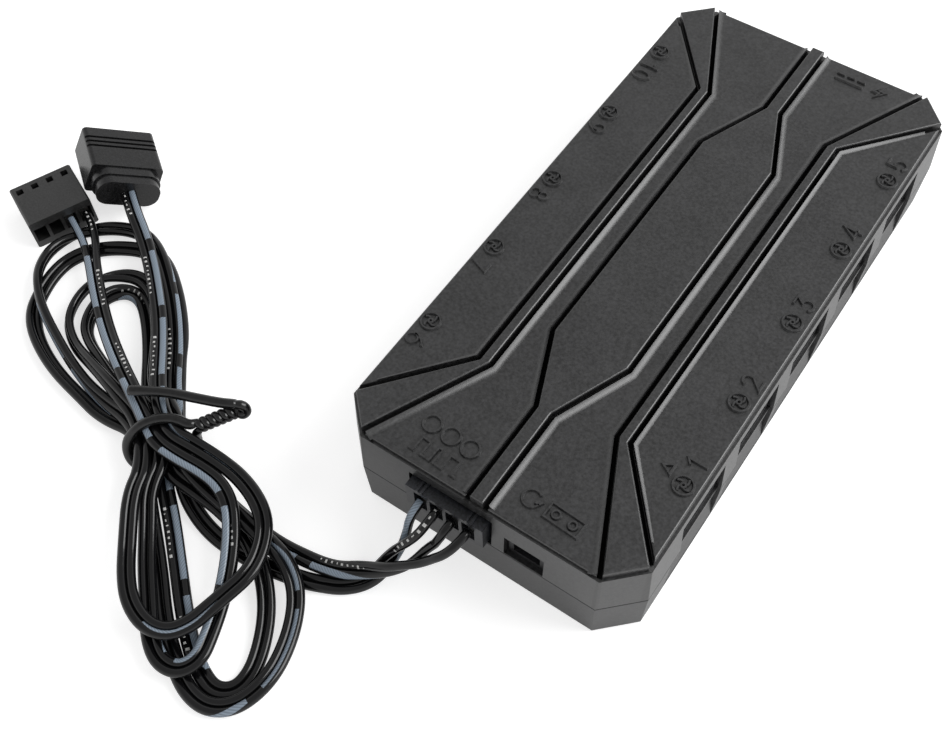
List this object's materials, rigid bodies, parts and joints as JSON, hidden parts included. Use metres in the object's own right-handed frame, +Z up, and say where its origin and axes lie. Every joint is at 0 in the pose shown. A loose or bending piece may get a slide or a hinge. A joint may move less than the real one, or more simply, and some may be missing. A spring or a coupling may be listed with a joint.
{
  "type": "fan controller hub",
  "caption": "Flat black fan and light hub with a panelled case, recessed fan sockets along both sides, sockets in its ends, and flat cables in a tied hank with a fan plug and a light plug.",
  "frame": {"origin": "middle of the case's base, on the surface it lies on", "axes": "+Y along the case towards the power port, +X towards fan ports 1 to 5, +Z up through the panelled deck"},
  "size_m": [0.1212, 0.1332, 0.018],
  "materials": {
    "case": "fine-grained black ABS",
    "board": "solder-masked board",
    "header": "moulded black nylon",
    "contacts": "plated contact metal",
    "chip": "moulded chip package",
    "capacitor": "aluminium can",
    "screw": "dark zinc plate",
    "plug": "moulded black nylon",
    "light_plug": "soft moulded PVC",
    "cable": "black PVC insulation",
    "tie": "plastic-sleeved wire"
  },
  "bodies": {
    "root": {"top_cover": "case", "bottom_cover": "case", "circuit_board": "board", "power_header": "header", "power_contacts": "contacts", "cable_header": "header", "cable_header_pins": "contacts", "reset_header": "header", "reset_header_pins": "contacts", "controller_chip": "chip", "driver_chips": "chip", "capacitors": "capacitor", "chip_resistors": "chip", "case_screws": "screw", "cable_plug": "plug", "cable_plug_terminals": "contacts", "fan_plug": "plug", "fan_plug_terminals": "contacts", "light_plug": "light_plug", "light_plug_sockets": "contacts", "cord_hank": "cable", "lead_cord_1": "cable", "lead_cord_2": "cable", "fan_tail_cord": "cable", "light_tail_cord": "cable", "twist_tie": "tie", "fan_header_1": "header", "fan_pins_1": "contacts", "fan_header_2": "header", "fan_pins_2": "contacts", "fan_header_3": "header", "fan_pins_3": "contacts", "fan_header_4": "header", "fan_pins_4": "contacts", "fan_header_5": "header", "fan_pins_5": "contacts", "fan_header_6": "header", "fan_pins_6": "contacts", "fan_header_7": "header", "fan_pins_7": "contacts", "fan_header_8": "header", "fan_pins_8": "contacts", "fan_header_9": "header", "fan_pins_9": "contacts", "fan_header_10": "header", "fan_pins_10": "contacts"}
  },
  "joints": []
}
